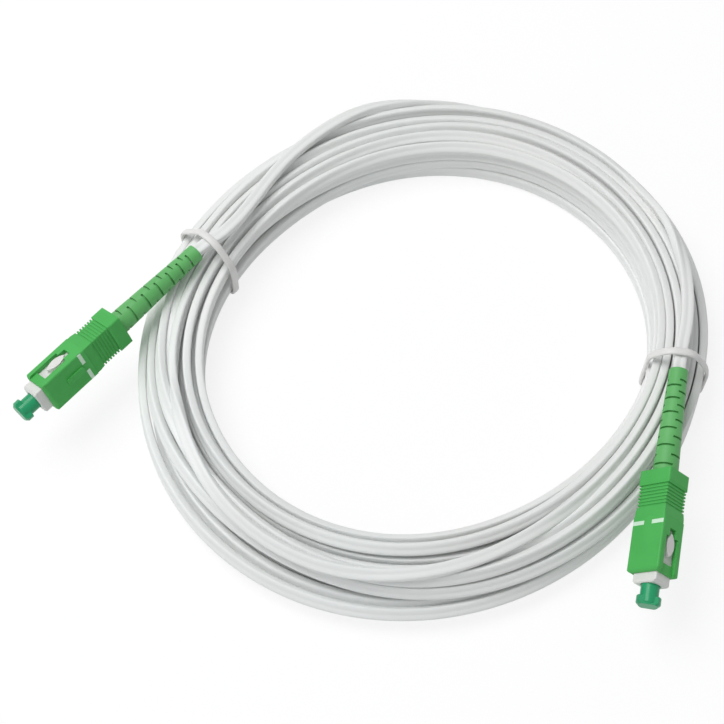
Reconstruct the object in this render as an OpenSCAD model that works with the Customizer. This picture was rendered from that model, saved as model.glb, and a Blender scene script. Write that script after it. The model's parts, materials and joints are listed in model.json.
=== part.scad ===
// Fiber optic patch cord: a flat drop cable wound into a ring and held by two ties, with a
// push-pull plug, a strain-relief boot and a dust cap at each end. Millimetres, Z up. The ring
// lies on z = 0 about the origin. Each plug is drawn along its own X axis: x = 0 is the
// housing's front face, +X leaves the plug, Y faces the latch windows, Z faces the key.

/* [Node] */
// which node to draw

/* [Cable] */
// narrow side of the flat cable
cord_w = 2.0; // [1.8:0.1:2.1]
// broad side of the flat cable
cord_h = 3.0; // [2.6:0.1:3.1]
// depth of the groove down each broad side
cord_notch = 0.3; // [0.1:0.05:0.5]
// mean radius of the wound ring
ring_r = 62.2; // [60:0.1:64]
// how far the ring is pulled into an oval
ring_oval = 3.2; // [2.6:0.1:3.8]
// air between neighbouring loops at the ties
loop_gap = 0.45; // [0.43:0.01:0.6]
// air between one layer of loops and the next
layer_gap = 0.45; // [0.42:0.01:0.5]
// how much the loops fan out at the near side
fan = 0.5; // [0.2:0.05:0.7]

/* [Ties] */
// width of a binding tie
tie_w = 1.7; // [1.2:0.1:2.2]
// thickness of a binding tie
tie_t = 0.9; // [0.7:0.05:1.0]
// how far the bundle is lifted off the table over a tie
tie_lift = 1.2; // [1.1:0.05:1.4]

/* [Housing] */
// housing width across the latch windows
body_y = 9.0; // [8.9:0.05:9.2]
// housing width across the key faces
body_z = 7.4; // [7.3:0.05:7.6]
// length of the housing
body_l = 25.0; // [24.8:0.1:25.6]
// radius of the housing's long corners
body_r = 0.5; // [0.3:0.05:0.7]
// radius of the corners of its front rim
front_r = 1.0; // [0.6:0.1:1.2]
// how far the waist draws in, each side
waist_in = 0.4; // [0.3:0.02:0.45]
// how far the rear end stays in, each side
rear_in = 0.1; // [0.05:0.05:0.2]
// grip grooves round the waist
grooves = 7; // [3:1:8]
// depth of a grip groove
groove_d = 0.18; // [0.1:0.02:0.22]
// height of the key ridge
key_h = 0.5; // [0.3:0.05:0.7]
// width of the key ridge
key_w = 2.0; // [1.6:0.1:2.4]
// width of the latch windows
win_z = 4.2; // [3.4:0.1:4.4]

/* [Frame] */
// inner frame width across the latch bosses
frame_y = 6.6; // [6.5:0.05:6.9]
// inner frame width across the key faces
frame_z = 5.1; // [5.0:0.05:5.3]
// how far the frame stands out of the housing
frame_out = 2.3; // [2.0:0.1:2.6]
// running clearance between frame and housing, each side
run_gap = 0.1; // [0.04:0.01:0.1]

/* [Ferrule] */
// ferrule diameter
ferrule_d = 2.5; // [2.4:0.05:2.6]
// how far the ferrule stands out past the housing
ferrule_out = 5.0; // [4.6:0.1:5.2]
// angle of the polished end
polish = 8; // [0:1:9]
// how far the ferrule floats back
float_l = 2.0; // [1.0:0.1:2.0]
// spring wire diameter
wire_d = 0.45; // [0.3:0.05:0.5]
// turns of the ferrule spring
spring_n = 7; // [5:1:8]

/* [Boot] */
// boot diameter at the housing
boot_d1 = 5.9; // [5.8:0.05:6.1]
// boot diameter at the cable end
boot_d2 = 4.6; // [4.5:0.1:5.2]
// length of the boot behind the housing
boot_l = 27.2; // [26:0.2:28]
// slits along the boot, each way
slits = 6; // [3:1:6]
// depth of a slit
slit_d = 0.6; // [0.3:0.05:0.65]
// width of a slit
slit_w = 0.5; // [0.3:0.05:0.6]

/* [Cap] */
// dust cap neck diameter
cap_d = 4.25; // [4.0:0.05:4.3]
// length of the cap past the housing
cap_l = 7.1; // [6.9:0.1:7.8]
// width over the two ears
cap_w = 5.6; // [5.2:0.1:6.2]
// thickness of the ears
cap_t = 3.4; // [2.6:0.1:3.8]

/* [Hidden] */
$fn = 48;
green = [0.20, 0.56, 0.24];
boot_green = [0.34, 0.66, 0.38];
teal = [0.06, 0.50, 0.30];
white = [0.90, 0.90, 0.91];
jacket = [0.84, 0.85, 0.84];

// wound ring: 4 layers of 6 turns, clockwise seen from above, from azimuth 45 back to 45
turns = 6;
layers = 4;
step_n = 24;
tau_0 = 0.375;
tau_1 = 22.375;
tie_az = [157.5, -7.5];
lead = 3;
layer_z = cord_h + layer_gap;
top_z = (layers - 1) * layer_z + cord_h;

// plug places: rear end of each boot, then heading, dip of the nose, and rolls
a_rear = [-58.1, 19.6, 17.1];
a_head = -132;
a_dip = 1.5;
a_roll = -68;
a_cap_roll = -28;
b_rear = [59.2, -13.9, 17.1];
b_head = -101.9;
b_dip = 2;
b_roll = -133;
b_cap_roll = 7;

// stations along the plug, x, from its front face or from the housing's rear end
rear = -body_l;
step_x = rear + 11.6;
step_in = 0.14;
waist_x = rear + 9.1;
flare_x = [rear + 4.2, rear + 3.0];
groove_x = [rear + 3.9, rear + 8.9];
groove_w = 0.42;
cav_x = rear + 6;
cav_y = frame_y + 2 * run_gap;
cav_z = frame_z + 2 * run_gap;
rear_d = boot_d1 + 2 * run_gap;
waist_d = 5.4;
frame_x = rear + 8;
chamber_d = 4.5;
throat_d = 3.6;
lip_x = [-1.5, -2.7];
stop_x = rear + 6.4;
neck_x = rear + 2;
neck_d = 3.7;
sleeve_b = neck_d + 0.2;
sleeve_d = sleeve_b + 0.7;
sleeve_x = [rear + 5.8, rear - 0.6];
cord_x = rear + 0.8;
boot_x = [rear + 1.4, rear - 2, rear - boot_l + 3, rear - boot_l];
slit_x = [3.2, boot_l - 1.7];
slit_arc = 104;
a_slits = 46;
b_slits = 61;
win_x = [-2.4, -8.8, -10.8];
win_neck = 2.2;
win_sill = 0.6;
key_x = [-5.9, -11.0];
boss_x = [-4.2, -9.8];
boss_w = 2.6;
mark_x = -11.7;
mark = [1.0, 3.2, 0.22];
mark_y = 2.7;
stop_front = rear + 12;
flange_x = [-1.0, lip_x[1] - 0.05, -4.6, stop_front + float_l + 0.5];
flange_d = [throat_d - 0.3, chamber_d - 0.3, 2.1];
seat_x = -4.0;
spring_x = [flange_x[2] - 0.05, stop_front];
spring_r = 1.7;
fiber_d = 0.9;
cap_x = 0.7;
cap_ear = 2.0;
cap_edge = 0.6;

// a = azimuth in degrees, c = place across the bundle in pitches (0 inner, 6 outer)
function wrap(a) = a - 360 * floor((a + 180) / 360);
function smooth(t) = let (u = min(1, max(0, t))) u * u * (3 - 2 * u);
function bump(a, at, half) = 1 - smooth(abs(wrap(a - at)) / half);
function mid_r(a) = ring_r + ring_oval * sin(2 * a);
function pitch(a) = cord_w + loop_gap
  + fan * (bump(a, -100, 85) + 0.5 * bump(a, 200, 38) + 0.3 * bump(a, 70, 60));
function lift(a) = tie_lift * max([for (t = tie_az) 1 - smooth((abs(wrap(a - t)) - 8) / 22)]);
function place(a, c, z) = let (r = mid_r(a) + (c - turns / 2) * pitch(a))
  [r * cos(a), r * sin(a), z];
function unit(v) = v / norm(v);

// the strand bulges a quarter pitch where the spiral turns back, and climbs a layer there
function turn_c(x) = x <= 0.25 ? -0.25 : x < 0.6 ? -0.25 + (x - 0.25) * 0.85 / 0.35 : x;
function layer_of(t) = min(layers - 1, floor(t / turns));
function coil_c(t) = let (k = layer_of(t), s = t - turns * k, e = k % 2 == 0)
  (e ? turns - s : s)
  + (s < 0.6 && k > 0 ? (e ? s - turn_c(s) : turn_c(s) - s) : 0)
  + (turns - s < 0.6 && k < layers - 1
    ? (e ? turn_c(turns - s) - (turns - s) : turns - s - turn_c(turns - s)) : 0);
function coil_k(t) = let (n = round(t / turns), d = t - turns * n)
  n > 0 && n < layers && abs(d) < 0.25 ? n - 1 + smooth((d + 0.25) / 0.5) : layer_of(t);
function coil_az(t) = 180 - 360 * t;
function coil_at(t) = let (a = coil_az(t)) place(a, coil_c(t), cord_h / 2 + layer_z * coil_k(t) + lift(a));

w2 = cord_w / 2;
h2 = cord_h / 2;
sec6 = [[-w2, -h2], [w2, -h2], [w2 - cord_notch, 0], [w2, h2], [-w2, h2], [-w2 + cord_notch, 0]];
cap6 = [[0, 1, 2], [0, 2, 5], [5, 2, 3], [5, 3, 4]];
sec8 = [[-w2, -h2], [0, -h2 - 0.05], [w2, -h2], [w2 - cord_notch, 0],
  [w2, h2], [0, h2 + 0.05], [-w2, h2], [-w2 + cord_notch, 0]];
cap8 = [[0, 1, 2], [0, 2, 3], [0, 3, 7], [7, 3, 4], [7, 4, 6], [6, 4, 5]];

// a frame is [point, section's x direction, section's y direction]
module tube(fr, sec, cap) {
  m = len(sec);
  n = len(fr);
  loop = len(cap) == 0;
  pts = [for (f = fr) for (s = sec) f[0] + s[0] * f[1] + s[1] * f[2]];
  side = [for (i = [0 : n - (loop ? 1 : 2)]) for (j = [0 : m - 1])
    let (a = i * m + j, b = i * m + (j + 1) % m, q = ((i + 1) % n) * m)
    each [[a, b, q + (j + 1) % m], [a, q + (j + 1) % m, q + j]]];
  ends = [for (t = cap) each [[t[0], t[2], t[1]], [for (q = t) (n - 1) * m + q]]];
  polyhedron(points = pts, faces = [for (t = concat(side, ends)) [t[0], t[2], t[1]]], convexity = 8);
}

// level frame about a heading, turned by a roll about the path: 0 stands on edge, 90 lies flat
function lay(p, t, roll) = let (l = unit(cross([0, 0, 1], t)), v = cross(t, l))
  [p, cos(roll) * l + sin(roll) * v, cos(roll) * v - sin(roll) * l];

coil_n = round((tau_1 - tau_0) * step_n);
coil_p = [for (i = [0 : coil_n]) coil_at(tau_0 + i / step_n)];
coil_t0 = unit(coil_p[1] - coil_p[0]);
coil_t1 = unit(coil_p[coil_n] - coil_p[coil_n - 1]);
coil_s = coil_p[0] - lead * coil_t0;
coil_e = coil_p[coil_n] + lead * coil_t1;
coil_f = concat([lay(coil_s, coil_t0, 0)],
  [for (i = [0 : coil_n]) let (a = coil_az(tau_0 + i / step_n))
    [coil_p[i], [cos(a), sin(a), 0], [0, 0, 1]]],
  [lay(coil_e, coil_t1, 0)]);

// least air between any two passes of the wound cable, taken at every station
coil_air = min([for (j = [0 : step_n - 1])
  let (q = [for (i = [j : step_n : coil_n]) [norm([coil_p[i][0], coil_p[i][1]]), coil_p[i][2]]])
  for (a = [0 : 1 : len(q) - 2]) for (b = [a + 1 : 1 : len(q) - 1])
    norm([max(0, abs(q[a][0] - q[b][0]) * cos(180 / step_n) - cord_w),
      max(0, abs(q[a][1] - q[b][1]) - cord_h)])]);
coil_len = sum_len(coil_p, 1);
function sum_len(p, i) = len(p) > 40
  ? let (h = floor(len(p) / 2)) sum_len([for (k = [0 : h]) p[k]], 1)
    + sum_len([for (k = [h : len(p) - 1]) p[k]], 1)
  : i < len(p) ? norm(p[i] - p[i - 1]) + sum_len(p, i + 1) : 0;

function nose(head, dip) = [cos(dip) * cos(head), cos(dip) * sin(head), -sin(dip)];
a_ax = nose(a_head, a_dip);
b_ax = nose(b_head, b_dip);
function on_axis(end, ax, u) = end + u * ax;

// free stretches: along each boot from its end, then azimuth, place across, height, roll
run_a = [[154.6, 2.2, 17.1, 90], [148, 1.9, 16.7, 90], [141, 2.3, 16.1, 90], [133, 3.2, 15.5, 90],
  [125, 4.3, 15.1, 90], [117, 5.4, 14.9, 90], [110, 6.4, 14.5, 85], [103, 7.3, 13.4, 72],
  [96, 7.8, 11.4, 54], [89, 7.9, 8.9, 36], [82, 7.8, 6.5, 20], [75, 7.5, 4.4, 8],
  [68, 7.0, 2.8, 2], [61, 6.5, 1.9, 0], [54.5, 6.1, 1.5, 0]];
run_b = [[36, 4.5, 12.3, 0], [30, 4.5, 13.5, 12], [24, 4.3, 14.8, 36], [18, 4.0, 15.7, 62],
  [12, 3.7, 16.3, 82], [5.5, 3.4, 16.8, 90], [-1, 3.1, 17.2, 90]];
function runs(r) = [for (q = r) [place(q[0], q[1], q[2]), q[3]]];
free_a = concat([for (u = [cord_x - boot_x[3], 21, 14, 7, 1, -2.5]) [on_axis(a_rear, a_ax, u), 90]],
  runs(run_a), [[coil_s - 3 * coil_t0, 0], [coil_s, 0]]);
free_b = concat([[coil_e, 0], [coil_e + 3 * coil_t1, 0]], runs(run_b),
  [for (u = [-6.5, -3, 0, 7, 14, 21, cord_x - boot_x[3]]) [on_axis(b_rear, b_ax, u), 90]]);
function path_f(p) = let (n = len(p) - 1) [for (i = [0 : n])
  let (t = unit(unit(p[min(n, i + 1)][0] - p[max(0, i - (i == n ? 1 : 0))][0])
    + unit(p[max(i, 1)][0] - p[max(0, i - 1)][0])))
  lay(p[i][0], t, p[i][1])];

echo(coil_air = coil_air, coil_len = coil_len,
  free_a = sum_len([for (q = free_a) q[0]], 1), free_b = sum_len([for (q = free_b) q[0]], 1));

module at_plug(end, head, dip, roll) {
  translate(end) rotate([roll, dip, head]) translate([-boot_x[3], 0, 0]) children();
}
module at_a(roll = a_roll) { at_plug(a_rear, a_head, a_dip, roll) children(); }
module at_b(roll = b_roll) { at_plug(b_rear, b_head, b_dip, roll) children(); }

module rod(x0, x1, d) { translate([x0, 0, 0]) rotate([0, 90, 0]) cylinder(h = x1 - x0, d = d); }
module cone(x0, x1, d0, d1) {
  translate([x0, 0, 0]) rotate([0, 90, 0]) cylinder(h = x1 - x0, d1 = d0, d2 = d1);
}
module along(x0, x1) { translate([x0, 0, 0]) rotate([90, 0, 90]) linear_extrude(x1 - x0) children(); }
module rounded(y, z, r) {
  square([y - 2 * r, z], center = true);
  square([y, z - 2 * r], center = true);
  for (i = [-1, 1]) for (j = [-1, 1])
    translate([i * (y / 2 - r), j * (z / 2 - r)]) circle(r = r);
}
module bar(x0, x1, y, z, r) { along(x0, x1) rounded(y, z, r); }
module block(x0, x1, y0, y1, z0, z1) { translate([x0, y0, z0]) cube([x1 - x0, y1 - y0, z1 - z0]); }

// the housing's outline from above or from the side: rounded front, small step, waist, rear end
module outline(w) {
  h = w / 2;
  p = [[0, h - front_r], [-front_r, h], [step_x, h], [step_x, h - step_in], [waist_x, h - waist_in],
    [flare_x[0], h - waist_in], [flare_x[1], h - rear_in], [rear, h - rear_in]];
  n = len(p) - 1;
  polygon(concat(p, [for (i = [0 : n]) [p[n - i][0], -p[n - i][1]]]));
  for (s = [-1, 1]) translate([-front_r, s * (h - front_r)]) circle(r = front_r);
}

module housing_shell() {
  intersection() {
    linear_extrude(2 * body_z, center = true) outline(body_y);
    rotate([90, 0, 0]) linear_extrude(2 * body_y, center = true) outline(body_z);
    union() {
      bar(step_x, 1, body_y, body_z, body_r);
      bar(rear - 1, step_x, body_y - 2 * rear_in, body_z - 2 * rear_in, body_r);
    }
  }
  translate([(key_x[0] + key_x[1]) / 2, 0, body_z / 2 - 0.2]) linear_extrude(key_h + 0.2)
    rounded(key_x[0] - key_x[1], key_w, 0.5);
}

module window_cut() {
  half = win_z / 2;
  sill = body_y / 2 - win_sill;
  block(win_x[1], win_x[0], frame_y / 2 - 0.2, body_y, -half, half);
  block(win_x[2], win_x[1] + 0.1, frame_y / 2 - 0.2, body_y, -win_neck / 2, win_neck / 2);
  block(win_x[0] - 0.1, 1, sill, body_y, -half, half);
}

module housing() {
  groove_in = waist_in + groove_d;
  difference() {
    housing_shell();
    along(cav_x, 1) square([cav_y, cav_z], center = true);
    rod(flare_x[1] - 0.1, cav_x + 0.1, waist_d);
    rod(rear - 1, flare_x[1], rear_d);
    for (s = [0, 180]) rotate([s, 0, 0]) window_cut();
    for (i = [0 : grooves - 1])
      let (x = groove_x[0] + (groove_x[1] - groove_x[0]) * i / (grooves - 1) - groove_w / 2)
        difference() {
          bar(x, x + groove_w, body_y + 2, body_z + 2, body_r);
          bar(x - 1, x + 1, body_y - 2 * groove_in, body_z - 2 * groove_in, body_r);
        }
    mark_bars();
  }
}

// alignment bars, let into both key faces and a hair proud of them
module mark_bars() {
  proud = 0.02;
  intersection() {
    for (s = [-1, 1]) for (t = [-1, 1])
      translate([mark_x, t * mark_y, s * (body_z / 2 - mark[2] / 2 + proud / 2)])
        cube([mark[0], mark[1], mark[2] + proud], center = true);
    bar(mark_x - 1, mark_x + 1, body_y + 2 * proud, body_z + 2 * proud, body_r);
  }
}

module leaf(len, wide, high) {
  r = (len * len / 4 + wide * wide / 4) / wide;
  intersection() {
    translate([0, 0, r - wide / 2]) rotate([-90, 0, 0]) cylinder(h = high, r = r);
    translate([0, 0, wide / 2 - r]) rotate([-90, 0, 0]) cylinder(h = high, r = r);
  }
}

module plug_frame() {
  boss_h = (body_y - frame_y) / 2 - 0.25;
  boss_m = (boss_x[0] + boss_x[1]) / 2;
  difference() {
    union() {
      bar(frame_x, frame_out, frame_y, frame_z, 0.35);
      for (s = [0, 180]) rotate([s, 0, 0]) translate([boss_m, frame_y / 2 - 0.1, 0])
        leaf(boss_x[0] - boss_x[1], boss_w, boss_h + 0.1);
    }
    rod(lip_x[0], frame_out + 1, chamber_d);
    rod(lip_x[1] - 0.1, lip_x[0] + 0.1, throat_d);
    rod(frame_x - 1, lip_x[1], chamber_d);
    for (s = [-1, 1]) translate([frame_out, s * frame_y / 2, 0]) rotate([0, 0, 45])
      cube([0.9, 0.9, frame_z + 2], center = true);
    for (s = [-1, 1]) translate([frame_out, 0, s * frame_z / 2]) rotate([0, 45, 0])
      cube([0.35, frame_y + 2, 0.35], center = true);
  }
}

module ferrule() {
  difference() {
    rod(seat_x, ferrule_out, ferrule_d);
    translate([ferrule_out, 0, 0]) rotate([0, -polish, 0]) translate([0.17, -2, -3]) cube([3, 4, 6]);
  }
}

module ferrule_flange() {
  difference() {
    union() {
      rod(flange_x[1] - 0.1, flange_x[0], flange_d[0]);
      rod(flange_x[2], flange_x[1], flange_d[1]);
      rod(flange_x[3], flange_x[2] + 0.1, flange_d[2]);
    }
    rod(seat_x, 0, ferrule_d);
    rod(flange_x[3] - 1, seat_x + 0.1, fiber_d + 0.2);
    for (s = [-1, 1]) block(flange_x[2] - 0.1, flange_x[2] + 1, -0.4, 0.4,
      s > 0 ? flange_d[1] / 2 - 0.45 : -3, s > 0 ? 3 : 0.45 - flange_d[1] / 2);
  }
}

module spring() {
  rw = wire_d / 2;
  x0 = spring_x[1] + rw;
  x1 = spring_x[0] - rw;
  n = spring_n * 8;
  sec = [for (k = [0 : 5]) rw * [cos(60 * k), sin(60 * k)]];
  tube([for (i = [0 : n]) let (a = 45 * i, r = [0, cos(a), sin(a)])
    [[x0 + (x1 - x0) * i / n, 0, 0] + spring_r * r, r, [-1, 0, 0]]],
    sec, [[0, 1, 2], [0, 2, 3], [0, 3, 4], [0, 4, 5]]);
}

module stop_body() {
  difference() {
    union() {
      rod(frame_x - 0.1, stop_front, chamber_d - 0.1);
      bar(stop_x, frame_x, frame_y, frame_z, 0.35);
      rod(neck_x, stop_x + 0.1, neck_d);
    }
    rod(rear + 9, stop_front + 1, 2.6);
    rod(neck_x - 1, rear + 9.1, fiber_d + 0.5);
  }
}

module crimp_sleeve() {
  difference() {
    rod(sleeve_x[1], sleeve_x[0], sleeve_d);
    rod(sleeve_x[1] - 1, sleeve_x[0] + 1, sleeve_b);
  }
}

module fiber() { rod(cord_x, seat_x - float_l - 0.4, fiber_d); }

// a slit centred at an angle from Z towards Y
module slit(x, at, r) {
  translate([x, 0, 0]) rotate([slit_arc / 2 - at, 0, 0]) rotate([0, -90, 0])
    rotate_extrude(angle = slit_arc) translate([r - slit_d, -slit_w / 2]) square([3, slit_w]);
}
function boot_r(x) = (boot_d2 + (boot_d1 - boot_d2)
  * min(1, max(0, (x - boot_x[2]) / (boot_x[1] - boot_x[2])))) / 2;

module boot(turn) {
  n = 2 * slits;
  slot = 0.15;
  difference() {
    union() {
      rod(boot_x[1], boot_x[0], boot_d1);
      cone(boot_x[2], boot_x[1], boot_d2, boot_d1);
      rod(boot_x[3], boot_x[2], boot_d2);
    }
    rod(sleeve_x[1] - 0.3, 0, sleeve_d + 0.1);
    block(boot_x[3] - 1, sleeve_x[1], -h2 - slot, h2 + slot, -w2 - slot, w2 + slot);
    for (i = [0 : n - 1]) for (s = [0, 180])
      let (u = i / (n - 1), x = boot_x[3] + slit_x[0] + (slit_x[1] - slit_x[0]) * (0.75 * u + 0.25 * u * u))
      slit(x, turn + s + (i % 2 == 0 ? 0 : 90), boot_r(x));
  }
}

module dust_cap() {
  difference() {
    union() {
      rod(cap_x, cap_l - cap_edge, cap_d);
      cone(cap_l - cap_edge, cap_l, cap_d, cap_d - 2 * cap_edge);
      intersection() {
        bar(cap_l - cap_ear, cap_l, cap_w, cap_t, 0.5);
        union() {
          rod(0, cap_l - cap_edge, cap_w);
          cone(cap_l - cap_edge, cap_l, cap_w, cap_w - 2 * cap_edge);
        }
      }
    }
    rod(0, ferrule_out + 0.8, ferrule_d + 0.04);
  }
}

// ties: corners in the tie's own upright plane (across the bundle outward, up), rounded by blends
function blend_loop(p, d, n) = let (m = len(p)) [for (i = [0 : m - 1])
  let (b = p[i], u = unit(p[(i + m - 1) % m] - b), v = unit(p[(i + 1) % m] - b),
    a = b + d[i] * u, c = b + d[i] * v)
  for (k = [0 : n - 1]) let (t = k / (n - 1)) (1 - t) * (1 - t) * a + 2 * t * (1 - t) * b + t * t * c];
module tie(az, skew, corners, cuts) {
  p = blend_loop(corners, cuts, 7);
  n = len(p);
  o = mid_r(az) * cos(180 / step_n) * [cos(az), sin(az), 0];
  e = [cos(az + skew), sin(az + skew), 0];
  side = [sin(az + skew), -cos(az + skew), 0];
  hw = tie_w / 2;
  ht = tie_t / 2;
  sec = [[hw, -0.2 * ht], [hw, 0.2 * ht], [0.7 * hw, 0.8 * ht], [0, ht], [-0.7 * hw, 0.8 * ht],
    [-hw, 0.2 * ht], [-hw, -0.2 * ht], [-0.7 * hw, -0.8 * ht], [0, -ht], [0.7 * hw, -0.8 * ht]];
  tube([for (i = [0 : n - 1])
    let (t = unit(p[(i + 1) % n] - p[(i + n - 1) % n]), q = [t[1], -t[0]])
    [o + p[i][0] * e + [0, 0, p[i][1]], side, q[0] * e + [0, 0, q[1]]]], sec, []);
}
tie_z = tie_t / 2 + 0.02;
half_b = (turns / 2 + 0.25) * (cord_w + loop_gap) + w2;
skew_a = -21;
wall_a = (half_b + 0.35 + tie_t / 2) / cos(skew_a);
wall_b = 2.55 * (cord_w + loop_gap) + w2 + 0.7 + tie_t / 2;
tie_top = 19.0;

module coil() { color(jacket) tube(coil_f, sec6, cap6); }
module cord_a() { color(jacket) tube(path_f(free_a), sec8, cap8); }
module cord_b() { color(jacket) tube(path_f(free_b), sec8, cap8); }
module tie_a() {
  color(white) tie(tie_az[0], skew_a, [[-wall_a, tie_z], [wall_a, tie_z], [wall_a, top_z - 1],
    [2.9, tie_top], [-2.9, tie_top], [-wall_a, top_z + 1]], [1.3, 1.3, 3, 1.5, 1.5, 2]);
}
module tie_b() {
  color(white) tie(tie_az[1] - 1.5, 0, [[-wall_b, tie_z], [wall_b, tie_z], [wall_b, top_z - 1],
    [3.0, tie_top + 0.15], [-2.5, tie_top + 0.15], [-wall_b, top_z + 2]], [1.3, 1.3, 3, 1.5, 1.5, 2]);
}
module a_dust_cap() { color(teal) at_a(a_cap_roll) dust_cap(); }
module b_dust_cap() { color(teal) at_b(b_cap_roll) dust_cap(); }
module a_ferrule() { color(white) at_a() ferrule(); }
module b_ferrule() { color(white) at_b() ferrule(); }
module a_ferrule_flange() { color("silver") at_a() ferrule_flange(); }
module b_ferrule_flange() { color("silver") at_b() ferrule_flange(); }
module a_spring() { color("silver") at_a() spring(); }
module b_spring() { color("silver") at_b() spring(); }
module a_plug_frame() { color(white) at_a() plug_frame(); }
module b_plug_frame() { color(white) at_b() plug_frame(); }
module a_housing() { color(green) at_a() housing(); }
module b_housing() { color(green) at_b() housing(); }
module a_marks() { color(white) at_a() mark_bars(); }
module b_marks() { color(white) at_b() mark_bars(); }
module a_stop_body() { color("silver") at_a() stop_body(); }
module b_stop_body() { color("silver") at_b() stop_body(); }
module a_crimp_sleeve() { color("gold") at_a(0) crimp_sleeve(); }
module b_crimp_sleeve() { color("gold") at_b(0) crimp_sleeve(); }
module a_fiber() { color("white") at_a(0) fiber(); }
module b_fiber() { color("white") at_b(0) fiber(); }
module a_boot() { color(boot_green) at_a(0) boot(a_slits); }
module b_boot() { color(boot_green) at_b(0) boot(b_slits); }

coil();
cord_a();
cord_b();
tie_a();
tie_b();
a_dust_cap();
a_ferrule();
a_ferrule_flange();
a_spring();
a_plug_frame();
a_housing();
a_marks();
a_stop_body();
a_crimp_sleeve();
a_fiber();
a_boot();
b_dust_cap();
b_ferrule();
b_ferrule_flange();
b_spring();
b_plug_frame();
b_housing();
b_marks();
b_stop_body();
b_crimp_sleeve();
b_fiber();
b_boot();
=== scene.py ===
import bpy
import json
import math
import numpy as np
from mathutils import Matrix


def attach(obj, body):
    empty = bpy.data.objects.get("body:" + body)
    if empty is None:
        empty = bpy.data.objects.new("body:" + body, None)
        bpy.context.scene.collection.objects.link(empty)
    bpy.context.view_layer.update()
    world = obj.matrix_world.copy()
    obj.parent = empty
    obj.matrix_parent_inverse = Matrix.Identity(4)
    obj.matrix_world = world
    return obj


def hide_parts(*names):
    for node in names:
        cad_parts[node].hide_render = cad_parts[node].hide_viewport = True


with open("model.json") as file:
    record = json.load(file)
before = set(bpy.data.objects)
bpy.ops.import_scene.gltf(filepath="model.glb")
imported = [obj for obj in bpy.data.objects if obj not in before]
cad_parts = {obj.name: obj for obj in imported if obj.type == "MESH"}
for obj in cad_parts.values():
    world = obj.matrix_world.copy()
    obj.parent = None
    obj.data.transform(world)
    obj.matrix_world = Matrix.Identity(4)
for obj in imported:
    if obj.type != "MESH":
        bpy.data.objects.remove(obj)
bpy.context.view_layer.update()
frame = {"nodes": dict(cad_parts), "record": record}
mm = 0.001
print("frame loaded:", len(frame["nodes"]), "nodes")

# aim and distance in millimetres, angle above the floor, lens and sensor, near and far limit in metres
camera = {"aim": (-16.6, -2.3, 0.0), "away": 380.0, "above": 62.0, "lens": 74.66, "sensor": 36.0,
          "clip": (0.01, 20.0)}


def addCamera(c):
    # the camera stands off its aim by the distance, looks along +Y and is tilted down by the angle
    a = math.radians(c["above"])
    x, y, z = c["aim"]
    data = bpy.data.cameras.new("studioCamera")
    data.lens, data.sensor_width = c["lens"], c["sensor"]
    data.clip_start, data.clip_end = c["clip"]
    ob = bpy.data.objects.new("studioCamera", data)
    ob.location = [v * mm for v in (x, y - c["away"] * math.cos(a), z + c["away"] * math.sin(a))]
    ob.rotation_euler = (math.pi / 2 - a, 0, 0)
    bpy.context.scene.collection.objects.link(ob)
    bpy.context.scene.camera = ob


addCamera(camera)
print("camera placed")


def unit(v):
    # each vector divided by its own length
    return v / np.maximum(np.linalg.norm(v, axis=-1, keepdims=True), 1e-12)


def makePiece(name, verts, faces, uv=None, smooth=True):
    # verts in millimetres, faces as lists of corner numbers, one uv pair for each vertex
    mesh = bpy.data.meshes.new(name)
    mesh.from_pydata((np.asarray(verts) * mm).tolist(), [], faces)
    if uv is not None:
        layer = mesh.uv_layers.new(name="along")
        loops = np.empty(len(mesh.loops), dtype=np.int32)
        mesh.loops.foreach_get("vertex_index", loops)
        layer.data.foreach_set("uv", np.asarray(uv, dtype=np.float32)[loops].ravel())
    mesh.polygons.foreach_set("use_smooth", np.full(len(mesh.polygons), smooth))
    mesh.update()
    ob = bpy.data.objects.new(name, mesh)
    bpy.context.scene.collection.objects.link(ob)
    return ob


def runLengths(points):
    # distance along the line up to each of its points
    return np.concatenate([[0], np.cumsum(np.linalg.norm(np.diff(points, axis=0), axis=1))])


def sweep(name, centre, side, up, profile, closed=False):
    # point = centre + the profile's x along side + its y along up, for each centre and corner
    n, m = len(centre), len(profile)
    verts = (centre[:, None, :] + profile[None, :, 0, None] * side[:, None, :]
             + profile[None, :, 1, None] * up[:, None, :]).reshape(-1, 3)
    i, j = np.meshgrid(np.arange(n if closed else n - 1), np.arange(m), indexing="ij")
    i2, j2 = (i + 1) % n, (j + 1) % m
    quads = np.stack([i * m + j, i * m + j2, i2 * m + j2, i2 * m + j], -1).reshape(-1, 4)
    uv = np.stack([np.repeat(runLengths(centre), m) * mm, np.tile(np.arange(m) / m, n)], -1)
    faces = quads.tolist()
    if not closed:
        faces.append(list(range(m))[::-1])
        faces.append([(n - 1) * m + k for k in range(m)])
    return makePiece(name, verts, faces, uv)


def smoothRun(points, step, fine=24):
    # Catmull-Rom through the knots, then points at an even step along the line
    p = np.asarray(points, float)
    q = np.vstack([2 * p[0] - p[1], p, 2 * p[-1] - p[-2]])
    t = np.linspace(0, 1, fine, endpoint=False)[:, None]
    out = []
    for a, b, c, d in zip(q[:-3], q[1:-2], q[2:-1], q[3:]):
        out.append(0.5 * (2 * b + (c - a) * t + (2 * a - 5 * b + 4 * c - d) * t ** 2
                          + (3 * b - a - 3 * c + d) * t ** 3))
    line = np.vstack(out + [p[-1:]])
    run = runLengths(line[:, :3])
    s = np.linspace(0, run[-1], int(run[-1] / step) + 1)
    return np.stack([np.interp(s, run, line[:, k]) for k in range(line.shape[1])], -1)


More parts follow.
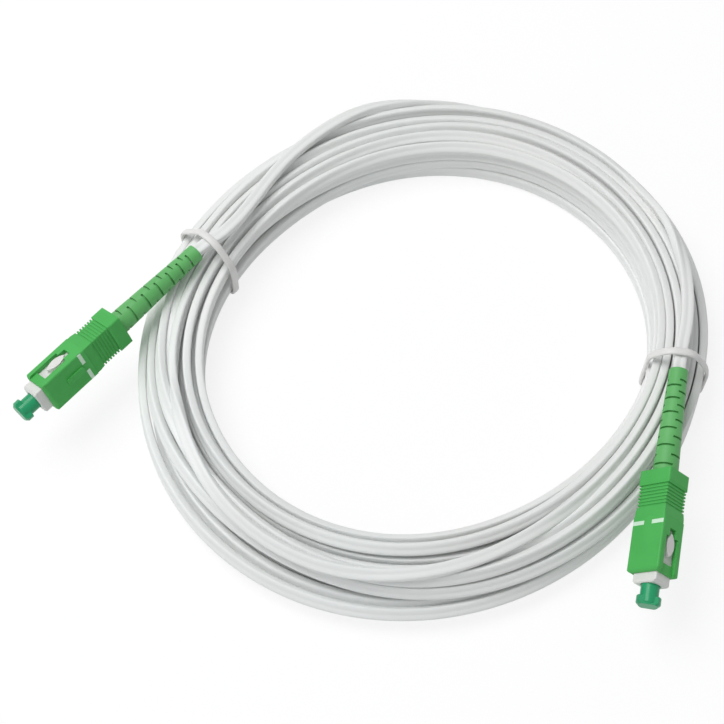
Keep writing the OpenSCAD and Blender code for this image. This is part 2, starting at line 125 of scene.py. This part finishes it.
# lengths in millimetres; turns are counted clockwise from azimuth 180
cable = {"wide": 2.0, "high": 3.0, "notch": 0.14, "step": 2.6, "ringR": 62.2, "oval": 3.2,
         # turns in a layer, layers, half the length of a climb to the next layer in turns
         "turns": 6, "layers": 4, "climb": 0.25,
         # height of a layer, what a tie adds to it, and how far a tie lifts the lowest layer
         "layerRise": 2.02, "tieRise": 0.42, "lift": 1.2,
         # start and end in turns, of the coil and of the cable outside the plugs, and the whole turns
         # before the last free end
         "coil": (0.375, 22.375), "free": (0.0625, 22.508), "wholeTurns": 22,
         # where the ties are, and how far each effect of a tie reaches in degrees: full, then fading
         "tieAz": (157.5, -7.5),
         "tieReach": {"rise": (8, 30), "lift": (8, 22), "roll": (5, 24), "wander": (4, 20)},
         # azimuth and gap between neighbouring loops' middles, averaged over the spread
         "gaps": ((-180, 2.1), (-160, 2.15), (-130, 2.8), (-95, 3.2), (-60, 2.9), (-30, 2.4),
                  (-7.5, 2.09), (30, 2.35), (80, 2.75), (130, 2.65), (157.5, 2.4)),
         "spread": (-16, -8, 0, 8, 16),
         # how far each layer lies outward, from the lowest: azimuth, reach in degrees, millimetres
         "slides": ((-90, 82, (-0.85, -0.8, -1.7, 0.5)), (80, 75, (-1.6, 0.6, 0.4, 3.1)),
                    (-178, 28, (2.9, 3.1, 2.8, 3.1)), (8, 40, (0.6, 0.6, 0.6, 0.7)))}
ribR = cable["wide"] / 2
web = cable["high"] - cable["wide"]
# sideways wander of the loops, more in the upper layers at the spot; waves are a seed and lengths
wander = {"reach": 0.7, "more": 1.2, "spot": (-140, 60), "waves": (3, (0.27, 0.37, 0.61, 1.13))}
# a loop leans until its width fills its gap, and turns over between the near and the far side
leaning = {"width": 2.03, "turnOver": 2.5,
           # the share that lowers the layers, then the roll: its mean, its waves and its layers
           "inHeight": 0.7, "mean": 0.9, "vary": 0.5, "waves": (8, (0.47, 0.83, 1.31)),
           "lowest": 0.55, "perLayer": 0.15,
           # what is taken off at the ties, then at two spots: azimuth, reach in degrees, share
           "tieShare": 0.6, "far": (80, 85, 0.6), "left": (-172, 32, 0.75)}
# the top layer's inner lanes lie flatter at the near side
laidFlat = {"spot": (-105, 80), "lane": 2.9, "fade": 0.8, "roll": 60, "vary": 10,
            "waves": (9, (0.7, 1.9))}
# loops that ride over their neighbours, with stronger pulls: turn, reach in turns, lanes outward,
# rise, roll
crossing = {"steep": 2.2, "sidePull": 6, "upPull": 4,
            "loops": ((19.83, 0.19, 1.7, 2.4, 82), (21.88, 0.12, -1.1, 2.3, 76),
                      (12.86, 0.14, -0.8, 1.2, 50))}
settle = {"perTurn": 72, "rounds": 120, "passes": 2,
          # the weight fades until this share of it lasts
          "weight": 0.006, "lasting": 0.15,
          # pull towards the plan in each round
          "sidePull": 0.03, "upPull": 0.05, "rollPull": 0.2,
          # how hard ribs are pushed apart, how much several touches share it, the room round a rib
          "shove": 1.2, "share": 0.6, "skin": 1.02,
          # passes of smoothing at the end, for points that are held less than this
          "smooth": 4, "freed": 0.01,
          # turns: where the free ends meet the loops, where the loops are let go, what is kept
          "join": (0.36, 22.39), "hold": ((0.40, 0.10), (22.34, 0.08)), "keep": (0.35, 22.4)}
# rear is the boot's rear end, and inside gives the cable's knots forward of it on the plug's axis
plugs = {"a": {"rear": (-58.1, 19.6, 17.1), "head": -132.0, "dip": 1.5,
               "inside": (28.0, 21, 14, 7, 1, -2.5)},
         "b": {"rear": (59.2, -13.9, 17.1), "head": -101.9, "dip": 2.0,
               "inside": (-6.5, -3, 0, 7, 14, 21, 28.0)}}
# free stretches: azimuth, millimetres outward of the ring's middle, height, roll
runA = [(154.6, -1.96, 17.1, 90), (148, -2.7, 16.5, 90), (141, -1.72, 15.5, 90),
        (133, 0.49, 14.5, 90), (125, 3.0, 13.8, 90), (117, 5.2, 13.4, 90), (110, 7.0, 13.1, 85),
        (103, 8.6, 12.3, 72), (96, 9.6, 10.6, 54), (89, 10.3, 8.4, 36), (82, 10.6, 6.2, 20),
        (75, 10.5, 4.3, 8), (68, 10.0, 2.8, 2), (61, 9.0, 1.9, 0), (54.5, 7.98, 1.5, 0)]
runB = [(36, 3.77, 12.3, 0), (30, 3.73, 13.5, 12), (24, 3.21, 14.8, 36), (18, 2.46, 15.7, 62),
        (12, 1.72, 16.3, 82), (5.5, 0.98, 16.8, 90), (-1, 0.25, 17.2, 90)]


def wrapAngle(a):
    # the same angle between -180 and 180
    return (np.asarray(a, float) + 180) % 360 - 180


def ease(t):
    # 0 below 0, 1 above 1, three squares less two cubes between
    u = np.clip(t, 0, 1)
    return u * u * (3 - 2 * u)


def bump(a, at, half):
    # 1 at an azimuth, easing to 0 at the half width
    return 1 - ease(np.abs(wrapAngle(a - at)) / half)


def tieNear(a, effect):
    # 1 at a tie, easing to 0 beyond the reach of the effect
    flat, fall = cable["tieReach"][effect]
    return np.maximum.reduce([1 - ease((np.abs(wrapAngle(a - t)) - flat) / fall)
                              for t in cable["tieAz"]])


def loopGap(a):
    # straight lines between the given azimuths, averaged over a few degrees
    at, gap = np.array(cable["gaps"]).T
    at, gap = np.concatenate([at - 360, at, at + 360]), np.tile(gap, 3)
    return np.mean([np.interp(wrapAngle(a) + d, at, gap) for d in cable["spread"]], axis=0)


def midR(a):
    # the ring's radius plus an oval that swells twice a turn
    return cable["ringR"] + cable["oval"] * np.sin(np.radians(2 * a))


def ringPoint(a, out, z):
    # radius = middle radius + distance outward, at azimuth a
    r, t = midR(a) + out, np.radians(a)
    return np.stack([r * np.cos(t), r * np.sin(t), z + 0 * r], -1)


def waves(turn, seed, lengths):
    # sines along the cable, with lengths in turns and drawn starts
    draw = np.random.default_rng(seed)
    total = sum(np.sin(2 * np.pi * (turn / w + draw.random())) for w in lengths)
    return total / math.sqrt(len(lengths))


def flatProfile(c):
    # rounded flat section, grooved down the middle of both broad sides
    w, h, n = c["wide"] / 2, c["high"] / 2, c["notch"]
    half = [(0.50 * w, -h), (0.82 * w, -0.95 * h), (0.98 * w, -0.80 * h), (w, -0.55 * h),
            (w, -0.20 * h), (w - n, 0.0), (w, 0.20 * h), (w, 0.55 * h), (0.98 * w, 0.80 * h),
            (0.82 * w, 0.95 * h), (0.50 * w, h)]
    return np.array(half + [(-x, -y) for x, y in half])


def windingPlan(turn):
    # spirals in and out between the first and last lane, and climbs a layer where it turns back
    n, top, reach = cable["turns"], cable["layers"] - 1, cable["climb"]
    k = np.clip(np.floor(turn / n), 0, top)
    s = turn - n * k
    lane = np.where(k % 2 == 0, n - s, s)
    back = np.round(turn / n)
    d = turn - n * back
    climb = (back > 0) & (back <= top) & (np.abs(d) < reach)
    return lane, np.where(climb, back - 1 + ease((d + reach) / (2 * reach)), k)


def plannedLoops(turn, a):
    # outward = lane times gap + wander + slides, height = floor + layers below; a loop leans back from
    # the near side until it fills its gap
    lane, layer = windingPlan(np.clip(turn, *cable["coil"]))
    gap, floor = loopGap(a), ribR + cable["lift"] * tieNear(a, "lift")
    out = (lane - cable["turns"] / 2) * gap
    loose = wander["reach"] * (1 + wander["more"] * ease(layer - 1) * bump(a, *wander["spot"]))
    out += loose * waves(turn, *wander["waves"]) * (1 - tieNear(a, "wander"))
    for at, reach, slide in cable["slides"]:
        out += bump(a, at, reach) * np.interp(layer, range(cable["layers"]), slide)

    at, reach, share = leaning["far"]
    lean = np.degrees(np.arccos(np.clip(leaning["width"] / gap, 0, 1)))
    lean = (lean * np.tanh(-leaning["turnOver"] * np.sin(np.radians(a)))
            * (1 - share * bump(a, at, reach) * ease(2 - layer)))
    z = floor + web / 2 + (cable["layerRise"] + np.cos(np.radians(leaning["inHeight"] * lean))
                           + cable["tieRise"] * tieNear(a, "rise")) * layer
    roll = (lean * (leaning["mean"] + leaning["vary"] * waves(turn, *leaning["waves"]))
            * (1 - leaning["tieShare"] * tieNear(a, "roll"))
            * (leaning["lowest"] + leaning["perLayer"] * layer))
    at, reach, share = leaning["left"]
    roll = roll * (1 - share * bump(a, at, reach) * ease(layer - 1))
    flat = (ease(layer - 2) * bump(a, *laidFlat["spot"])
            * ease((laidFlat["lane"] - lane) / laidFlat["fade"]))
    flatRoll = laidFlat["roll"] + laidFlat["vary"] * waves(turn, *laidFlat["waves"])
    roll = roll * (1 - flat) + flatRoll * flat

    over = 0 * turn
    for at, reach, lanes, rise, tip in crossing["loops"]:
        across = 1 - ease(np.abs(turn - at) / reach)
        up = ease(crossing["steep"] * across)
        out += lanes * gap * across
        z, roll, over = z + rise * up, roll * (1 - up) + tip * up, np.maximum(over, up)
    start, end = settle["join"]
    for run, whole, sel in ((runA, 0, turn < start), (runB, cable["wholeTurns"], turn > end)):
        r = np.array(run, float)
        at = whole + (180 - r[:, 0]) / 360
        out[sel], z[sel], roll[sel] = (np.interp(turn[sel], at, r[:, j]) for j in (1, 2, 3))
    return out, z, np.radians(roll), over, floor


def ribPair(middle, tilt):
    # half a web to either side of the middle, along the tilt
    half = web / 2 * np.stack([-np.sin(tilt), np.cos(tilt)], -1)
    return np.stack([middle + half, middle - half])


def ribTilt(ribs):
    # angle of the line from one rib to the other
    between = ribs[0] - ribs[1]
    return np.arctan2(-between[:, 0], between[:, 1])


def soften(ribs, where):
    # half of each point plus a quarter of both its neighbours
    soft = 0.5 * ribs[:, 1:-1] + 0.25 * (ribs[:, :-2] + ribs[:, 2:])
    ribs[:, 1:-1] = np.where(where, soft, ribs[:, 1:-1])


def pushApart(ribs, pair, ground):
    # at each azimuth, ribs nearer than a diameter move apart by half their overlap, none goes below
    # the ground, and each two ribs are set a web apart again
    n, rows = ground.shape[0], ground.shape[1] // 2
    p = ribs.reshape(2, rows, n, 2).transpose(2, 0, 1, 3).reshape(n, 2 * rows, 2)
    away = p[:, :, None, :] - p[:, None, :, :]
    apart = np.sqrt((away ** 2).sum(-1)) + 1e-9
    deep = np.where(pair, np.maximum(0, cable["wide"] * settle["skin"] - apart), 0)
    push = ((0.5 * deep / apart)[..., None] * away).sum(2)
    touching = np.maximum(1, settle["share"] * (deep > 0).sum(-1))
    p = p + settle["shove"] * push / touching[..., None]
    p[..., 1] = np.maximum(p[..., 1], ground)
    ribs = p.reshape(n, 2, rows, 2).transpose(1, 2, 0, 3).reshape(2, rows * n, 2)
    between = ribs[0] - ribs[1]
    size = np.linalg.norm(between, axis=-1, keepdims=True)
    fix = 0.5 * (size - web) * between / size
    return np.stack([ribs[0] - fix, ribs[1] + fix]), deep


def settleLoops():
    # the cable is two round ribs joined by a web; each round gives them weight, a pull towards the
    # plan and the stiffness of the jacket, then moves overlapping ribs apart
    n = settle["perTurn"]
    begin, end = cable["free"]
    rows = math.ceil(end - begin)
    turn = begin + np.arange(rows * n) / n
    alive = turn <= end
    a = 180 - 360 * turn
    out, z, goal, over, floor = plannedLoops(turn, a)
    (letGo, fade), (catch, grip) = settle["hold"]
    hold = np.maximum(ease((letGo - turn) / fade), ease((turn - catch) / grip))[:, None]
    near = tieNear(a, "rise")
    ribs = first = ribPair(np.stack([out, z], -1), goal)
    row = np.arange(2 * rows) % rows
    live = np.concatenate([alive.reshape(rows, n).T] * 2, 1)
    pair = (row[:, None] != row[None, :])[None] & live[:, :, None] & live[:, None, :]
    ground = np.concatenate([floor.reshape(rows, n).T] * 2, 1)
    stiff = (alive[1:-1] & alive[2:])[None, :, None]
    for k in range(settle["rounds"]):
        heat = 1 - k / settle["rounds"]
        middle = 0.5 * (ribs[0] + ribs[1])
        middle[:, 0] += settle["sidePull"] * (1 + crossing["sidePull"] * over) * (out - middle[:, 0])
        middle[:, 1] += settle["upPull"] * (1 + crossing["upPull"] * over) * (z - middle[:, 1])
        middle[:, 1] -= settle["weight"] * (settle["lasting"] + heat) * (1 - near)
        tilt = ribTilt(ribs)
        tilt += settle["rollPull"] * ((goal - tilt + np.pi / 2) % np.pi - np.pi / 2)
        ribs = ribPair(middle, tilt)
        for _ in range(settle["passes"]):
            soften(ribs, stiff)
        for _ in range(settle["passes"]):
            ribs, deep = pushApart(ribs, pair, ground)
        ribs = ribs * (1 - hold) + first * hold
    print("loops settled, deepest overlap", round(float(deep.max()), 3), "mm")
    for _ in range(settle["smooth"]):
        soften(ribs, stiff & (hold[1:-1] < settle["freed"]))
    middle, tilt = 0.5 * (ribs[0] + ribs[1]), ribTilt(ribs)
    # the section's corners reach lower than the ribs, so the lowest loops are lifted off the floor
    x, y = flatProfile(cable).T[:, :, None]
    middle[:, 1] = np.maximum(middle[:, 1], np.max(x * np.sin(tilt) + y * np.cos(tilt), axis=0))
    kept = (turn > settle["keep"][0]) & (turn < settle["keep"][1])
    return np.column_stack([ringPoint(a, middle[:, 0], middle[:, 1]), np.degrees(tilt)])[kept]


def nose(p):
    # the way a plug points: its heading about the upright, dipped towards the floor
    h, d = math.radians(p["head"]), math.radians(p["dip"])
    return np.array([math.cos(d) * math.cos(h), math.cos(d) * math.sin(h), -math.sin(d)])


def onAxis(p, x):
    # the boot's rear end plus a distance forward
    return np.array(p["rear"]) + x * nose(p)


def cableLine():
    # from inside the left plug along its free end, the settled loops and the right plug's free end
    first = [[*onAxis(plugs["a"], x), 90] for x in plugs["a"]["inside"]]
    first += [[*ringPoint(a, out, z), roll] for a, out, z, roll in runA]
    last = [[*ringPoint(a, out, z), roll] for a, out, z, roll in runB]
    last += [[*onAxis(plugs["b"], x), 90] for x in plugs["b"]["inside"]]
    return smoothRun(np.vstack([first, settleLoops(), last]), cable["step"])


def flatFrames(line):
    # side is level and square to the path, then turned with up by the roll about the path
    p, roll = line[:, :3], np.radians(line[:, 3:4])
    t = unit(np.gradient(p, axis=0))
    level = unit(np.cross([0, 0, 1.0], t))
    v = np.cross(t, level)
    return p, np.cos(roll) * level + np.sin(roll) * v, np.cos(roll) * v - np.sin(roll) * level


line = cableLine()
jacket = sweep("flatCable", *flatFrames(line), flatProfile(cable))
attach(jacket, "root")
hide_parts("coil", "cord_a", "cord_b")
(onAxis(plugs["a"], 0.0) * mm).tolist()

# corners in millimetres from the middle of the ring's chord, and how much each one is cut;
# blunt squares up the band's oval, and halfStep is half the angle between the source's ring points
ties = {"wide": 1.9, "thick": 0.9, "blunt": (0.7, 0.8), "around": 20, "perCorner": 12,
        "halfStep": 7.5,
        "left": {"az": 157.5, "skew": -21.0,
                 "corner": [(-6.4, 0.47), (7.7, 0.47), (10.65, 6.0), (10.65, 10.4), (2.8, 18.8),
                            (-2.6, 18.8), (-8.15, 13.4), (-8.15, 2.3)],
                 "cut": [1.6, 2, 2, 2, 2.2, 2.2, 2.5, 1.6]},
        "right": {"az": -9.0, "skew": 0.0,
                  "corner": [(-6.95, 0.47), (8.05, 0.47), (8.05, 11.6), (2.9, 18.95), (-2.5, 18.95),
                             (-6.95, 14.9)],
                  "cut": [1.6, 1.6, 3.5, 2.2, 2.2, 2]}}


def blunted(v, power):
    # the size raised to a power, the sign kept
    return np.sign(v) * np.abs(v) ** power


def tieBand(name, t):
    # corners in the tie's upright plane, each rounded by a quadratic blend, swept by a blunt oval
    p = np.array(t["corner"])
    cut = np.array(t["cut"])[:, None]
    u, v = unit(np.roll(p, 1, 0) - p), unit(np.roll(p, -1, 0) - p)
    k = np.linspace(0, 1, ties["perCorner"])[None, :, None]
    a, b, c = (p + cut * u)[:, None], p[:, None], (p + cut * v)[:, None]
    q = ((1 - k) ** 2 * a + 2 * k * (1 - k) * b + k ** 2 * c).reshape(-1, 2)
    az, skewed = math.radians(t["az"]), math.radians(t["az"] + t["skew"])
    chord = midR(t["az"]) * math.cos(math.radians(ties["halfStep"]))
    o = chord * np.array([math.cos(az), math.sin(az), 0])
    e = np.array([math.cos(skewed), math.sin(skewed), 0])
    side = np.array([math.sin(skewed), -math.cos(skewed), 0])
    up = np.array([0, 0, 1.0])
    centre = o + q[:, :1] * e + q[:, 1:] * up
    d = unit(np.roll(q, -1, 0) - np.roll(q, 1, 0))
    out = d[:, 1:] * e - d[:, :1] * up
    g = np.linspace(0, 2 * np.pi, ties["around"], endpoint=False)
    band = np.stack([ties["wide"] / 2 * blunted(np.cos(g), ties["blunt"][0]),
                     ties["thick"] / 2 * blunted(np.sin(g), ties["blunt"][1])], -1)
    return sweep(name, centre, np.tile(side, (len(q), 1)), out, band, closed=True)


for side, node in (("left", "tie_a"), ("right", "tie_b")):
    band = tieBand(side + "Tie", ties[side])
    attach(band, "root")
    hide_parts(node)
print("ties made")


class Socket:
    # a node's output that takes part in sums
    def __init__(self, nodes, output):
        self.nodes, self.output = nodes, output

    def maths(self, how, other):
        return self.nodes.add("ShaderNodeMath", {"operation": how}, [self, other])

    def __add__(self, other):
        return self.maths("ADD", other)

    def __mul__(self, other):
        return self.maths("MULTIPLY", other)

    __radd__, __rmul__ = __add__, __mul__

    def other(self, name):
        # another output of the same node
        return Socket(self.nodes, self.output.node.outputs[name])

    def ramp(self, low, high):
        # 0 below low, 1 above high, smooth between
        return self.nodes.add("ShaderNodeMapRange", {"interpolation_type": "SMOOTHSTEP"},
                              {"Value": self, "From Min": low, "From Max": high})


class Nodes:
    # a node tree, with its nodes added by type, settings and the values or links of their sockets
    def __init__(self, tree):
        self.tree = tree
        tree.nodes.clear()

    def add(self, kind, settings=None, values=None, out=0):
        n = self.tree.nodes.new(kind)
        for k, v in (settings or {}).items():
            setattr(n, k, v)
        pairs = enumerate(values) if isinstance(values, list) else (values or {}).items()
        for k, v in pairs:
            if isinstance(v, Socket):
                self.tree.links.new(v.output, n.inputs[k])
            elif v is not None:
                n.inputs[k].default_value = v
        return Socket(self, n.outputs[out]) if n.outputs else None

    def noise(self, scale, detail, rough=0.5, at=None):
        at = at or self.add("ShaderNodeTexCoord", out="Object")
        return self.add("ShaderNodeTexNoise", None,
                        {"Vector": at, "Scale": scale, "Detail": detail, "Roughness": rough})

    def mix(self, fac, a, b):
        # a Mix node's colour sockets share their names with others, so they go by number
        return self.add("ShaderNodeMix", {"data_type": "RGBA"}, {0: fac, 6: a, 7: b}, out=2)

    def bumpUp(self, height, strength, distance, normal=None):
        return self.add("ShaderNodeBump", None, {"Strength": strength, "Distance": distance,
                                                 "Height": height, "Normal": normal})


class Finish(Nodes):
    # one material
    def __init__(self, name):
        self.material = bpy.data.materials.new(name)
        self.material.use_nodes = True
        super().__init__(self.material.node_tree)

    def show(self, shader):
        self.add("ShaderNodeOutputMaterial", None, {"Surface": shader})
        return self.material

    def surface(self, values):
        return self.show(self.add("ShaderNodeBsdfPrincipled", None, values))


def rgb(r, g, b):
    # screen colour 0-255 to linear
    def lin(v):
        v = v / 255
        return v / 12.92 if v <= 0.04045 else ((v + 0.055) / 1.055) ** 2.4
    return (lin(r), lin(g), lin(b), 1.0)


# cloud is a noise scale, finer as it grows; vary is how far the roughness swings
plastic = {"cloud": 140.0, "cloudMix": 0.5, "between": (0.35, 0.65), "bump": 0.25, "vary": 0.12,
           "coatRough": 0.2, "ior": 1.48, "softRadius": (0.9, 0.9, 0.85), "softScale": 0.0012}


def mouldedPlastic(name, base, shade, rough, grain=2200.0, depth=0.00002, coat=0.0, edge=0.00012,
                   soft=0.0, shine=0.5):
    # two close tints in slow clouds, a fine spark-eroded grain, and rounded edges
    f = Finish(name)
    cloud = f.noise(plastic["cloud"], detail=3.0).ramp(*plastic["between"])
    fine = f.noise(grain, detail=2.0, rough=0.6)
    colour = f.mix(cloud * plastic["cloudMix"], base, shade)
    rounded = f.add("ShaderNodeBevel", {"samples": 4}, {"Radius": edge}) if edge else None
    vals = {"Base Color": colour, "Normal": f.bumpUp(fine, plastic["bump"], depth, rounded),
            "Roughness": fine * plastic["vary"] + (rough - plastic["vary"] / 2),
            "Coat Weight": coat, "Coat Roughness": plastic["coatRough"], "IOR": plastic["ior"],
            "Specular IOR Level": shine}
    if soft:
        vals.update({"Subsurface Weight": soft, "Subsurface Radius": plastic["softRadius"],
                     "Subsurface Scale": plastic["softScale"]})
    return f.surface(vals)


metal = {"stretch": (1.0, 40.0, 40.0), "lines": 400.0, "dark": 0.8, "mix": 0.3, "vary": 0.2,
         "bump": 0.15, "depth": 0.00001}


def brushedMetal(name, base, rough):
    # fine lines drawn out along X, a little darker and rougher in places
    f = Finish(name)
    place = f.add("ShaderNodeTexCoord", out="Object")
    at = f.add("ShaderNodeMapping", None, {"Vector": place, "Scale": metal["stretch"]})
    lines = f.noise(metal["lines"], detail=3.0, rough=0.6, at=at)
    dark = [v * metal["dark"] for v in base[:3]] + [1]
    return f.surface({"Base Color": f.mix(lines * metal["mix"], base, dark), "Metallic": 1.0,
                      "Roughness": lines * metal["vary"] + (rough - metal["vary"] / 2),
                      "Normal": f.bumpUp(lines, metal["bump"], metal["depth"])})


# draw is the scale of the draw marks along and round the cable
jacketLook = {"base": (233, 235, 234), "patch": (229, 229, 227), "patchScale": 18.0,
              "between": (0.35, 0.65), "patchMix": 0.6, "draw": (60.0, 34.0, 1.0), "fine": 3200.0,
              "rough": 0.36, "vary": 0.16, "bump": 0.22, "depth": 0.00003, "soft": 0.10,
              "softRadius": (1.0, 1.0, 0.95), "softScale": 0.0010, "ior": 1.47}


def jacketFinish(j):
    # extruded white jacket: long draw marks, faint warm and cool patches, a soft sheen
    f = Finish("jacketWhite")
    uv = f.add("ShaderNodeUVMap", {"uv_map": "along"})
    at = f.add("ShaderNodeMapping", None, {"Vector": uv, "Scale": j["draw"]})
    drawn = f.noise(1.0, detail=4.0, rough=0.55, at=at)
    fine = f.noise(j["fine"], detail=2.0, rough=0.6)
    patch = f.noise(j["patchScale"], detail=2.0).ramp(*j["between"])
    colour = f.mix(patch * j["patchMix"], rgb(*j["base"]), rgb(*j["patch"]))
    return f.surface({"Base Color": colour, "Roughness": drawn * j["vary"] + j["rough"],
                      "Normal": f.bumpUp(drawn * 0.5 + fine * 0.5, j["bump"], j["depth"]),
                      "Subsurface Weight": j["soft"], "Subsurface Radius": j["softRadius"],
                      "Subsurface Scale": j["softScale"], "IOR": j["ior"]})


finishes = {
    "jacket_white": jacketFinish(jacketLook),
    "tie_white": mouldedPlastic("tieWhite", rgb(226, 225, 223), rgb(219, 218, 217), 0.42,
                                edge=0, soft=0.15),
    "cap_teal": mouldedPlastic("capTeal", rgb(26, 156, 102), rgb(16, 140, 91), 0.30,
                               grain=900.0, coat=0.1, shine=0.3),
    "ferrule_white": mouldedPlastic("ferruleCeramic", rgb(240, 240, 235), rgb(232, 232, 228), 0.12,
                                    depth=0.000002, coat=0.5),
    "flange_metal": brushedMetal("flangeMetal", rgb(205, 205, 200), 0.25),
    "spring_steel": brushedMetal("springSteel", rgb(180, 180, 180), 0.30),
    "frame_white": mouldedPlastic("frameWhite", rgb(224, 224, 221), rgb(217, 217, 214), 0.36,
                                  soft=0.1),
    "housing_green": mouldedPlastic("housingGreen", rgb(78, 178, 88), rgb(70, 168, 80), 0.42,
                                    shine=0.25),
    "mark_white": mouldedPlastic("markWhite", rgb(206, 236, 210), rgb(196, 228, 202), 0.5),
    "crimp_brass": brushedMetal("crimpBrass", rgb(200, 165, 95), 0.30),
    "stop_metal": brushedMetal("stopMetal", rgb(190, 190, 190), 0.30),
    "fiber_white": mouldedPlastic("fibreBuffer", rgb(240, 240, 235), rgb(235, 235, 230), 0.4,
                                  edge=0),
    "boot_green": mouldedPlastic("bootGreen", rgb(97, 177, 100), rgb(88, 167, 92), 0.5,
                                 depth=0.00003),
}
slotOf = {s["node"]: s["material_slot"] for s in frame["record"]["subparts"]}


def dress(ob, material):
    ob.data.materials.clear()
    ob.data.materials.append(material)


for name, ob in frame["nodes"].items():
    if ob.material_slots:
        for slot in ob.material_slots:
            slot.material = finishes[slotOf[name]]
    else:
        ob.data.materials.append(finishes[slotOf[name]])
dress(jacket, finishes["jacket_white"])
for side in ("left", "right"):
    dress(bpy.data.objects[side + "Tie"], finishes["tie_white"])
print("finishes:", len(finishes))

# light of the room, grey of the floor, how far the floor turns into the backdrop, and its glow;
# the floor's half width and its drop below the cable are in millimetres
studio = {"ambient": 0.36, "air": (0.97, 0.985, 1.0, 1), "floor": 0.94, "keep": 0.8, "glow": 1.03,
          "white": (1, 1, 1, 1), "half": 4000, "drop": 0.2,
          # name, place in metres, width and power of each lamp; all aim at the origin
          "lamps": (("keyLight", (-0.42, 0.22, 0.86), 0.7, 6.2),
                    ("fillLight", (-0.4, -0.75, 0.5), 0.9, 1.3))}


def seenDirect(nodes):
    # min(1, camera + glossy + transmission): rays that show the backdrop rather than its light
    path = nodes.add("ShaderNodeLightPath", out="Is Camera Ray")
    total = path
    for ray in ("Is Glossy Ray", "Is Transmission Ray"):
        total = nodes.add("ShaderNodeMath", {"operation": "ADD", "use_clamp": True},
                          [total, path.other(ray)])
    return total


def addRoom(s):
    # soft light all round, and plain white where the backdrop is seen
    world = bpy.data.worlds.new("paleRoom")
    bpy.context.scene.world = world
    world.use_nodes = True
    room = Nodes(world.node_tree)
    light = room.add("ShaderNodeBackground", None, {"Color": s["air"], "Strength": s["ambient"]})
    white = room.add("ShaderNodeBackground", None, {"Color": s["white"]})
    shown = room.add("ShaderNodeMixShader", None, [seenDirect(room), light, white])
    room.add("ShaderNodeOutputWorld", None, {"Surface": shown})


def addFloor(s):
    # a pale floor that keeps its shadows and mostly turns into the white backdrop
    f = Finish("paleFloor")
    seen = seenDirect(f)
    grey = s["floor"]
    diffuse = f.add("ShaderNodeBsdfDiffuse", None, {"Color": (grey, grey, grey, 1)})
    glow = f.add("ShaderNodeEmission", None, {"Color": s["white"], "Strength": s["glow"]})
    material = f.show(f.add("ShaderNodeMixShader", None, [seen * s["keep"], diffuse, glow]))
    h, z = s["half"], -s["drop"]
    floor = makePiece("studioFloor", [(-h, -h, z), (h, -h, z), (h, h, z), (-h, h, z)],
                      [[0, 1, 2, 3]], smooth=False)
    floor.data.materials.append(material)


def addLamps(s):
    # a lamp shines down its own -Z, which is tilted and turned to point at the origin
    for name, spot, size, power in s["lamps"]:
        lamp = bpy.data.lights.new(name, "AREA")
        lamp.shape, lamp.size, lamp.energy = "DISK", size, power
        ob = bpy.data.objects.new(name, lamp)
        ob.location = spot
        d = -np.array(spot)
        tilt, heading = math.acos(-d[2] / np.linalg.norm(d)), math.atan2(d[1], d[0])
        ob.rotation_euler = (tilt, 0, heading - math.pi / 2)
        bpy.context.scene.collection.objects.link(ob)


addRoom(studio)
addFloor(studio)
addLamps(studio)
bpy.context.scene.view_settings.view_transform = "Standard"
print("studio lit")
